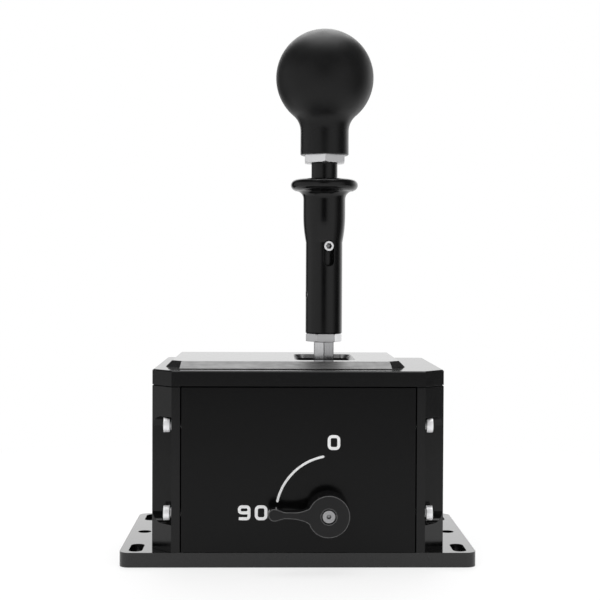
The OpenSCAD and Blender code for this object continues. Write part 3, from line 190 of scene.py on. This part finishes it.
def material(name, low, high, rough, metal=0.0, grain=2600.0, bump=0.03, depth=0.00002, rounding=0.0002,
             stretch=(1, 1, 1), top=1.0, slope=1.0, above=None, recess=0.0, gap_shade=0.0, dusty=0.0,
             rim_highlight=0.0, hex_edge_shade=0.0, **sockets):
    """A finish whose colour, roughness and fine relief come from noise in the piece's own space.

    rough is the lowest and highest roughness. stretch draws the grain out, for brushed or turned metal.
    top is the share of the roughness on faces that look up, which are rubbed smoother, and slope is its
    share on faces just off level. above is (height, share) for what lies over a height, in metres.
    recess darkens holes of about that depth, as painted shade. gap_shade darkens, as painted shade, what
    lies that deep in a narrow gap between pieces, and dusty dulls gaps of about that width. rim_highlight
    is how pale the edges of a face toward the front are painted, as a painted highlight. hex_edge_shade
    darkens the rounded edges of an upright six-sided bar by that share, as painted shade."""
    m = bpy.data.materials.new(name)
    m.use_nodes = True
    n = Nodes(m.node_tree)
    place = n.add("TexCoord").outputs["Object"]
    drawn_out = n.add("Mapping", {"Vector": place, "Scale": stretch}).outputs["Vector"]
    cloud = n.noise(place, CLOUD_SCALE, CLOUD_DETAIL)
    fine = n.noise(drawn_out, grain, GRAIN_DETAIL)
    edge = n.add("Bevel", {"Radius": rounding}, samples=EDGE_SAMPLES).outputs[0]
    relief = n.add("Bump", {"Strength": bump, "Distance": depth, "Height": fine, "Normal": edge}).outputs[0]
    shade = shade_of(n, cloud, edge, low, high, recess, gap_shade, rim_highlight, hex_edge_shade)
    blur = blur_of(n, place, cloud, fine, rough, top, slope, above, dusty)
    shader = n.add("BsdfPrincipled", {"Base Color": shade, "Roughness": blur, "Normal": relief,
                                      "Metallic": metal, **sockets})
    n.add("OutputMaterial", {"Surface": shader.outputs[0]}, is_active_output=True)
    return m


BLACK = ((0.0028, 0.0028, 0.0029), (0.0050, 0.0050, 0.0052))
STEEL = ((0.58, 0.58, 0.59), (0.70, 0.70, 0.71), (0.16, 0.26))
# Drawn steel gets painted shade deep in its holes
DRAWN = {"metal": 1.0, "grain": 1900, "bump": 0.06, "stretch": (1, 1, 0.06), "recess": 0.0012}
PLATED = {"grain": 2400, "bump": 0.06, "rounding": 0.0003}

# The finish of each of the part's material slots
MATERIALS = {
    "powder_coat": material("powder_coat", *BLACK, (0.12, 0.18), grain=3400, bump=0.04, top=0.7,
                            dusty=0.002, IOR=1.33),
    "knob_plastic": material("knob_plastic", (0.0055, 0.0055, 0.0057), (0.0075, 0.0075, 0.0077),
                             (0.22, 0.27), grain=5200, bump=0.05, above=(0.216, 1.75), IOR=1.30),
    "collar_plastic": material("collar_plastic", *BLACK, (0.11, 0.16), grain=4200, rounding=0.0006,
                               IOR=1.36),
    # The lever gets a painted highlight along its front edges
    "lever_plastic": material("lever_plastic", (0.0075, 0.0075, 0.0077), (0.0105, 0.0105, 0.0108),
                              (0.15, 0.21), grain=4200, bump=0.04, rounding=0.0010, rim_highlight=0.16, IOR=1.29),
    "blackened_steel": material("blackened_steel", *BLACK, (0.20, 0.28), grain=4200, bump=0.04, dusty=0.003,
                                IOR=1.36),
    # Zinc-plated steel gets painted shade deep in its holes
    "zinc_steel": material("zinc_steel", (0.80, 0.80, 0.81), (0.88, 0.88, 0.89), (0.36, 0.46), metal=1.0,
                           recess=0.0012, **PLATED),
    "steel": material("steel", *STEEL, rounding=0.0005, **DRAWN),
    "ball_steel": material("ball_steel", (0.72, 0.72, 0.73), (0.80, 0.80, 0.81), (0.08, 0.14), metal=1.0),
    "spring_steel": material("spring_steel", (0.52, 0.52, 0.53), (0.62, 0.62, 0.63), (0.2, 0.3), metal=1.0),
    "machined_aluminium": material("machined_aluminium", (0.62, 0.63, 0.64), (0.74, 0.75, 0.76),
                                   (0.28, 0.4), metal=1.0, grain=1800, bump=0.08, stretch=(0.08, 1, 1)),
    "bronze": material("bronze", (0.52, 0.34, 0.15), (0.62, 0.42, 0.20), (0.25, 0.38), metal=1.0),
    "acetal": material("acetal", (0.02, 0.02, 0.021), (0.028, 0.028, 0.029), (0.35, 0.45)),
    "board": material("board", (0.006, 0.07, 0.03), (0.010, 0.10, 0.045), (0.25, 0.35)),
    "magnet": material("magnet", (0.62, 0.62, 0.60), (0.70, 0.70, 0.68), (0.12, 0.2), metal=1.0),
    "socket_plastic": material("socket_plastic", (0.008, 0.008, 0.008), (0.012, 0.012, 0.012), (0.4, 0.5)),
}
white_ink = material("white_ink", (0.82, 0.82, 0.82), (0.88, 0.88, 0.88), (0.4, 0.5), grain=3000)

# Pieces with a finish of their own: coats of other gloss, and screws and the rod in the light
OWN_FINISH = {
    "base_plate": material("powder_coat_base", *BLACK, (0.22, 0.30), grain=3400, bump=0.05, top=0.45,
                           IOR=1.52),
    "lid": material("powder_coat_lid", *BLACK, (0.16, 0.22), grain=3400, bump=0.05, top=0.45, dusty=0.002,
                    IOR=1.28),
    "gate_cover": material("powder_coat_cover", *BLACK, (0.20, 0.26), grain=900, bump=0.10, depth=0.00003,
                           top=0.45, slope=2.2, stretch=(0.03, 1, 1), IOR=1.7),
    "front_panel": material("powder_coat_panel", (0.0016, 0.0016, 0.0017), (0.0032, 0.0032, 0.0033),
                            (0.12, 0.18), grain=3400, bump=0.04, top=0.7, dusty=0.002, IOR=1.25),
    # The selector screw gets painted shade deep in its socket
    "selector_screw": material("dull_steel", (0.34, 0.34, 0.345), (0.42, 0.42, 0.425), (0.30, 0.40),
                               metal=0.9, recess=0.0012, **PLATED),
    # The side screws and their washers get painted shade deep in the gaps round them
    "side_screws": material("bright_zinc", (0.90, 0.90, 0.91), (0.96, 0.96, 0.97), (0.34, 0.44), metal=0.25,
                            gap_shade=0.004, **PLATED),
    # The guide screw gets painted shade deep in its socket
    "guide_screw": material("socket_zinc", (0.84, 0.84, 0.85), (0.90, 0.90, 0.91), (0.30, 0.40), metal=1.0,
                            recess=0.0035, **PLATED),
    # The rod gets painted shade on its rounded edges
    "hex_rod": material("drawn_steel", *STEEL, rounding=0.0009, hex_edge_shade=0.85, **DRAWN),
}
OWN_FINISH["side_screw_washers"] = OWN_FINISH["side_screws"]
for row in frame["record"]["subparts"]:
    piece = nodes[row["node"]]
    piece.data.materials.clear()
    piece.data.materials.append(OWN_FINISH.get(row["node"], MATERIALS[row["material_slot"]]))

# Meshes are made in millimetres. These are their steps, sides, sharp angles and mitre limit.
COIL_STEPS, WIRE_SIDES, COIL_ANGLE = 28, 10, 60
CORNER_STEPS, MITRE_LIMIT = 6, 0.4
KNOB_SIDES, KNOB_ANGLE = 128, 50
EDGE_STEPS, BLEND_STEPS, BALL_STEPS = 6, 20, 60


def piece_from(bm, name, body, finish, smooth_angle=30.0):
    """A mesh object made of bm, riding on a CAD body."""
    bmesh.ops.scale(bm, vec=(MM, MM, MM), verts=bm.verts)
    bmesh.ops.recalc_face_normals(bm, faces=bm.faces)
    limit = math.radians(smooth_angle)
    for f in bm.faces:
        f.smooth = True
    for e in bm.edges:
        if len(e.link_faces) == 2 and e.calc_face_angle(0) > limit:
            e.smooth = False
    mesh = bpy.data.meshes.new(name)
    bm.to_mesh(mesh)
    bm.free()
    mesh.materials.append(finish)
    o = bpy.data.objects.new(name, mesh)
    scene.collection.objects.link(o)
    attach(o, body)
    return o


def arc(cx, cy, r, start, end, steps):
    """Points of an arc between two angles in degrees, both ends included."""
    angles = [math.radians(start + (end - start) * i / steps) for i in range(steps + 1)]
    return [(cx + r * math.cos(a), cy + r * math.sin(a)) for a in angles]


def moved(outline, x, z):
    """The outline with its origin at (x, z)."""
    return [(x + px, z + pz) for px, pz in outline]


def round_box(w, h, r):
    """A rectangle with round corners, anticlockwise about the origin."""
    corners = ((1, 1, 0), (-1, 1, 90), (-1, -1, 180), (1, -1, 270))
    return [p for sx, sz, a in corners
            for p in arc(sx * (w / 2 - r), sz * (h / 2 - r), r, a, a + 90, CORNER_STEPS)]


def lathe(profile, sides, place):
    """Turns (radius, height) points about a vertical axis at place; points on the axis close the ends."""
    bm = bmesh.new()
    x, y, foot = place
    rings = []
    for r, z in profile:
        angles = [2 * math.pi * k / sides for k in range(sides if r else 1)]
        rings.append([bm.verts.new((x + r * math.cos(a), y + r * math.sin(a), foot + z)) for a in angles])
    for a, b in zip(rings, rings[1:]):
        for k in range(sides):
            j = (k + 1) % sides
            corners = dict.fromkeys([a[k % len(a)], a[j % len(a)], b[j % len(b)], b[k % len(b)]])
            bm.faces.new(list(corners))
    return bm


def plate_from(outline, y, thick):
    """A thin plate in the X-Z plane whose back lies at y and whose face stands thick in front of it."""
    bm = bmesh.new()
    back = [bm.verts.new((x, y, z)) for x, z in outline]
    front = [bm.verts.new((x, y - thick, z)) for x, z in outline]
    bm.faces.new(back)
    bm.faces.new(front[::-1])
    for i in range(len(back)):
        j = (i + 1) % len(back)
        bm.faces.new([back[i], front[i], front[j], back[j]])
    return bm


def ring_from(outer, inner, y, thick):
    """A thin plate in the X-Z plane between two closed outlines of as many points."""
    bm = bmesh.new()
    loops = [[bm.verts.new((x, y - t, z)) for x, z in outline]
             for t in (0, thick) for outline in (outer, inner)]
    count = len(outer)
    for p, q in ((0, 1), (1, 3), (3, 2), (2, 0)):
        for i in range(count):
            j = (i + 1) % count
            bm.faces.new([loops[p][i], loops[p][j], loops[q][j], loops[q][i]])
    return bm


def stroke(points, width):
    """The outline of a line of some width with mitred corners."""
    left, right = [], []
    for i, p in enumerate(points):
        p = Vector(p)
        before = (p - Vector(points[i - 1])).normalized() if i else None
        after = (Vector(points[i + 1]) - p).normalized() if i + 1 < len(points) else None
        d = (before + after).normalized() if before and after else (before or after)
        side = Vector((-d.y, d.x))
        if before and after:
            side /= max(MITRE_LIMIT, side.dot(Vector((-before.y, before.x))))
        left.append(p + side * width / 2)
        right.append(p - side * width / 2)
    return [tuple(v) for v in left + right[::-1]]


def wound(name, body, x, y, z_lo, z_hi, r, wire, turns):
    """A coil of round wire with closed ends, about a vertical axis and between two heights."""
    bm = bmesh.new()
    total = turns * COIL_STEPS
    rise = z_hi - z_lo - wire
    lead = math.atan(rise / turns / (2 * math.pi * r))
    rings = []
    for i in range(total + 1):
        a = 2 * math.pi * i / COIL_STEPS
        out = Vector((math.cos(a), math.sin(a), 0))
        up = Vector((math.sin(lead) * math.sin(a), -math.sin(lead) * math.cos(a), math.cos(lead)))
        middle = Vector((x + r * math.cos(a), y + r * math.sin(a), z_lo + wire / 2 + rise * (i / total)))
        round_wire = [2 * math.pi * k / WIRE_SIDES for k in range(WIRE_SIDES)]
        rings.append([bm.verts.new(middle + wire / 2 * (math.cos(b) * out + math.sin(b) * up))
                      for b in round_wire])
    for p, q in zip(rings, rings[1:]):
        for k in range(WIRE_SIDES):
            j = (k + 1) % WIRE_SIDES
            bm.faces.new([p[k], p[j], q[j], q[k]])
    bm.faces.new(rings[0])
    bm.faces.new(rings[-1][::-1])
    return piece_from(bm, name, body, MATERIALS["spring_steel"], COIL_ANGLE)


# The knob, turned with a finer profile than the solid's
BALL_R, NECK_R, BLEND_R, RISE, EDGE = 25.0, 12.4, 10.5, 39.6, 0.8
drop = math.sqrt((BALL_R + BLEND_R) ** 2 - (NECK_R + BLEND_R) ** 2)
blend_end = math.degrees(math.asin(drop / (BALL_R + BLEND_R)))
knob_profile = [(0, 0), (NECK_R - EDGE, 0), *arc(NECK_R - EDGE, EDGE, EDGE, -90, 0, EDGE_STEPS),
                *arc(NECK_R + BLEND_R, RISE - drop, BLEND_R, 180, 180 - blend_end, BLEND_STEPS),
                *arc(0, RISE, BALL_R, -blend_end, 90, BALL_STEPS)[1:-1], (0, RISE + BALL_R)]
knob = piece_from(lathe(knob_profile, KNOB_SIDES, (STICK_X, STICK_Y, KNOB_Z)), "knob_turned", "stick",
                  MATERIALS["knob_plastic"], KNOB_ANGLE)
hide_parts("knob")

# The lift spring, a coil wound between the heights of the solid's, riding on the stick
LIFT_R, LIFT_WIRE, LIFT_TURNS = 8.0, 1.0, 8
lift_lo, lift_hi = (v.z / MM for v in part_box("lift_spring"))
lift_coil = wound("lift_spring_coil", "stick", STICK_X, STICK_Y, lift_lo, lift_hi, LIFT_R, LIFT_WIRE,
                  LIFT_TURNS)
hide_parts("lift_spring")
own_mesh(lift_coil)

# Each centring spring is one winding in two lengths, a lower and an upper
SEAT_OFFSET, SEAT_Y, SEAT_R, SEAT_WIRE = 14, -38.25, 3.3, 1.0
SEAT_TURNS, LOWER_TURNS = 8, 6
# How far the crank comes down on a spring when the stick leans fully sideways
CRANK_DIP = 2.3
seat_lo, seat_hi = (v.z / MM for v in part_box("centring_springs"))
seat_mid = seat_lo + SEAT_WIRE / 2 + (seat_hi - seat_lo - SEAT_WIRE) * LOWER_TURNS / SEAT_TURNS
for side, x in (("left", STICK_X - SEAT_OFFSET), ("right", STICK_X + SEAT_OFFSET)):
    lower = wound(f"centring_spring_{side}", "housing", x, SEAT_Y, seat_lo, seat_mid + SEAT_WIRE / 2,
                  SEAT_R, SEAT_WIRE, LOWER_TURNS)
    upper = wound(f"centring_spring_{side}_top", "housing", x, SEAT_Y, seat_mid - SEAT_WIRE / 2, seat_hi,
                  SEAT_R, SEAT_WIRE, SEAT_TURNS - LOWER_TURNS)
    for coil, joint, keep in ((lower, "slider_rise", 1 - SLIDER_RISE / (seat_mid - seat_lo)),
                              (upper, "stick_sideways", 1 - CRANK_DIP / (seat_hi - seat_mid))):
        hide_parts("centring_springs")
        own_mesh(coil)

# Printed on the front panel: an arc for the lever's swing and its angles in plain numbers, 0 and 90
PRINT, TAIL_PRINT = 0.03, 0.9
ARC_X, ARC_Z, ARC_R, ARC_W = 17.0, 25.5, 27.6, 1.15
ARC_FROM, ARC_TO, ARC_STEPS, END_STEPS = 101.2, 167.4, 40, 8
NUM_W, NUM_H, NUM_S = 6.0, 7.1, 1.45
ZERO_R, ZERO_HOLE_R = 2.2, 0.75
ZEROS = (("printed_zero_top", 16.7, 59.3), ("printed_zero_left", -17.6, 26.0))
NINE_X, NINE_Z = -25.6, 26.0
LOOP_H, LOOP_R, LOOP_HOLE_R = 4.3, 1.9, 0.6
TAIL_R, TAIL_SHORT, TAIL_STEPS = 2.0, 0.5, 6


def arc_end(angle, turn):
    """A round end of the arc."""
    cx = ARC_X + ARC_R * math.cos(math.radians(angle))
    cz = ARC_Z + ARC_R * math.sin(math.radians(angle))
    return arc(cx, cz, ARC_W / 2, turn, turn + 180, END_STEPS)[1:-1]


def printed_arc():
    """The arc beside the lever's swing."""
    outline = [*arc(ARC_X, ARC_Z, ARC_R + ARC_W / 2, ARC_FROM, ARC_TO, ARC_STEPS), *arc_end(ARC_TO, ARC_TO),
               *arc(ARC_X, ARC_Z, ARC_R - ARC_W / 2, ARC_TO, ARC_FROM, ARC_STEPS),
               *arc_end(ARC_FROM, ARC_FROM + 180)]
    piece_from(plate_from(outline, PANEL_Y, PRINT), "printed_arc", "housing", white_ink)


def printed_loop(name, x, z, h, r, hole_r):
    """A closed loop of a number, with its middle at (x, z)."""
    outer = moved(round_box(NUM_W, h, r), x, z)
    inner = moved(round_box(NUM_W - 2 * NUM_S, h - 2 * NUM_S, hole_r), x, z)
    piece_from(ring_from(outer, inner, PANEL_Y, PRINT), name, "housing", white_ink)


def printed_nine():
    """A 9: a loop, and a tail that runs down and round to the left, a little thinner than the loop."""
    loop_z = NINE_Z + (NUM_H - LOOP_H) / 2
    printed_loop("printed_nine_loop", NINE_X, loop_z, LOOP_H, LOOP_R, LOOP_HOLE_R)
    right, left, foot = NINE_X + NUM_W / 2, NINE_X - NUM_W / 2, NINE_Z - NUM_H / 2
    tail = [(right - NUM_S / 2, loop_z),
            *arc(right - TAIL_R, foot + TAIL_R, TAIL_R - NUM_S / 2, 0, -90, TAIL_STEPS),
            (left + TAIL_SHORT, foot + NUM_S / 2)]
    plate = plate_from(stroke(tail, NUM_S), PANEL_Y, PRINT * TAIL_PRINT)
    piece_from(plate, "printed_nine_tail", "housing", white_ink)


printed_arc()
for name, x, z in ZEROS:
    printed_loop(name, x, z, NUM_H, ZERO_R, ZERO_HOLE_R)
printed_nine()

# Stage, in metres: a round pale table. Past its edge the world shows, as white to the camera.
FLOOR_R, FLOOR_SIDES, FLOOR_DROP = 0.45, 96, 0.0002
FLOOR_NEAR, FLOOR_FAR, FLOOR_DIM = 0.15, 0.9 * FLOOR_R, 0.72


def floor_finish():
    """Matt and pale to all but the camera and glosses, which see it glow, less so near the part."""
    m = bpy.data.materials.new("floor")
    m.use_nodes = True
    n = Nodes(m.node_tree)
    path = n.add("LightPath").outputs
    seen = n.calc("MAXIMUM", path["Is Camera Ray"], path["Is Transmission Ray"])
    seen = n.calc("MAXIMUM", seen, path["Is Glossy Ray"])
    place = n.add("TexCoord").outputs["Object"]
    away = n.add("VectorMath", {0: place}, operation="LENGTH").outputs["Value"]
    glow = n.calc("MULTIPLY", seen, n.span(away, FLOOR_NEAR, FLOOR_FAR, FLOOR_DIM, 1.0))
    matt = n.add("BsdfDiffuse", {"Color": grey(0.8)}).outputs[0]
    pale = n.add("Emission", {"Color": grey(1), "Strength": 1.0}).outputs[0]
    n.add("OutputMaterial", {"Surface": n.add("MixShader", {0: glow, 1: matt, 2: pale}).outputs[0]})
    return m


def pale_floor():
    """The table, just under the part."""
    bm = bmesh.new()
    bmesh.ops.create_circle(bm, cap_ends=True, segments=FLOOR_SIDES, radius=FLOOR_R)
    mesh = bpy.data.meshes.new("floor")
    bm.to_mesh(mesh)
    bm.free()
    mesh.materials.append(floor_finish())
    floor = bpy.data.objects.new("floor", mesh)
    floor.location = (0, 0, -FLOOR_DROP)
    scene.collection.objects.link(floor)


# The studio's upright flats, as (degrees round from the front toward the right, brightness)
FLATS = [(-180, 1.0), (-158, 1.0), (-148, 0.1), (-140, 0.02), (-134, 0.05), (-120, 0.45), (-95, 0.8),
         (-60, 0.85), (-26, 0.75), (-10, 0.03), (4, 0.03), (20, 0.75), (36, 0.9), (52, 0.85), (66, 0.45),
         (80, 0.10), (99, 0.10), (112, 0.5), (124, 1.0), (136, 1.4), (155, 1.2), (180, 1.0)]
# Near the ground the front has one pale flat in place of the dark one
FRONT_EDGE, LOW_FRONT = 30, [(-26, 0.9), (20, 0.9)]
LOW_FLATS = sorted([flat for flat in FLATS if abs(flat[0]) >= FRONT_EDGE] + LOW_FRONT)
# Between the two values of a direction, one part of the studio fades into the next
LOW_FADE, TOP_FADE, TOP_LEVEL = (-0.04, -0.10), (0.25, 0.55), 0.10
SAIL_SIDE_FADE, SAIL_FRONT_FADE = (0.46, 0.26), (-0.34, -0.12)
SAIL_FOOT_FADE, SAIL_FOOT_LEVELS = (0.06, 0.18), (0.98, 1.5)
SAIL_TOP_FADE, SAIL_TOP_LEVELS = (0.25, 0.75), (0.0, 2.4)


def studio():
    """White to the camera. For all else flats stand round, and a pale sail runs from the back over them."""
    world = bpy.data.worlds.new("studio")
    scene.world = world
    world.use_nodes = True
    n = Nodes(world.node_tree)
    way = n.axes(n.add("TexCoord").outputs["Generated"])
    turn = n.calc("ARCTAN2", way["X"], n.calc("MULTIPLY", way["Y"], -1.0))
    around = n.span(turn, -math.pi, math.pi)
    high, low = (n.ramp(around, [((a + 180) / 360, level) for a, level in flats])
                 for flats in (FLATS, LOW_FLATS))
    ring = n.blend(n.span(way["Z"], *LOW_FADE), high, low)
    dome = n.blend(n.span(way["Z"], *TOP_FADE), ring, grey(TOP_LEVEL))
    aside = n.calc("ABSOLUTE", way["X"])
    sail = n.calc("MULTIPLY", n.span(aside, *SAIL_SIDE_FADE), n.span(way["Y"], *SAIL_FRONT_FADE))
    sail_level = n.calc("ADD", n.span(way["Z"], *SAIL_FOOT_FADE, *SAIL_FOOT_LEVELS),
                        n.span(way["Z"], *SAIL_TOP_FADE, *SAIL_TOP_LEVELS))
    lit = n.add("Background", {"Color": n.blend(sail, dome, sail_level), "Strength": 1.0}).outputs[0]
    white = n.add("Background", {"Color": grey(1), "Strength": 1.0}).outputs[0]
    path = n.add("LightPath").outputs
    seen = n.calc("MAXIMUM", path["Is Camera Ray"], path["Is Transmission Ray"])
    n.add("OutputWorld", {"Surface": n.add("MixShader", {0: seen, 1: lit, 2: white}).outputs[0]})


# Soft lights: name, place, size and power
LIGHTS = (("key", (-1.1, -1.3, 1.5), (0.9, 0.9), 15),
          ("fill", (1.3, -1.0, 1.3), (0.9, 0.9), 8),
          ("rear", (0.3, 1.5, 1.6), (1.2, 0.8), 8))
LIGHT_TARGET = (0.01, 0, 0.1)


def area_light(name, place, size, power):
    """A soft light that looks at the target and shows in no gloss."""
    data = bpy.data.lights.new(name, "AREA")
    data.shape = "RECTANGLE"
    data.size, data.size_y = size
    data.energy = power
    o = bpy.data.objects.new(name, data)
    o.location = place
    o.rotation_mode = "QUATERNION"
    o.rotation_quaternion = (Vector(LIGHT_TARGET) - Vector(place)).to_track_quat("-Z", "Y")
    o.visible_glossy = False
    scene.collection.objects.link(o)


# The camera at the photograph's angle: place in metres, turns in degrees, lens and sensor in millimetres
CAMERA_PLACE = (-0.01233, -0.650, 0.13855)
YAW, PITCH, ROLL = 1.21, 1.14, 0.25
LENS, SENSOR = 76.45, 36.0
NEAREST, FARTHEST = 0.01, 50


def camera():
    """The camera, level first and then turned by its three angles."""
    data = bpy.data.cameras.new("camera")
    data.sensor_width = SENSOR
    data.lens = LENS
    data.clip_start, data.clip_end = NEAREST, FARTHEST
    o = bpy.data.objects.new("camera", data)
    scene.collection.objects.link(o)
    o.matrix_world = (Matrix.Translation(CAMERA_PLACE)
                      @ Matrix.Rotation(math.radians(-YAW), 4, "Z")
                      @ Matrix.Rotation(math.radians(90 - PITCH), 4, "X")
                      @ Matrix.Rotation(math.radians(ROLL), 4, "Z"))
    scene.camera = o


pale_floor()
studio()
for light in LIGHTS:
    area_light(*light)
camera()
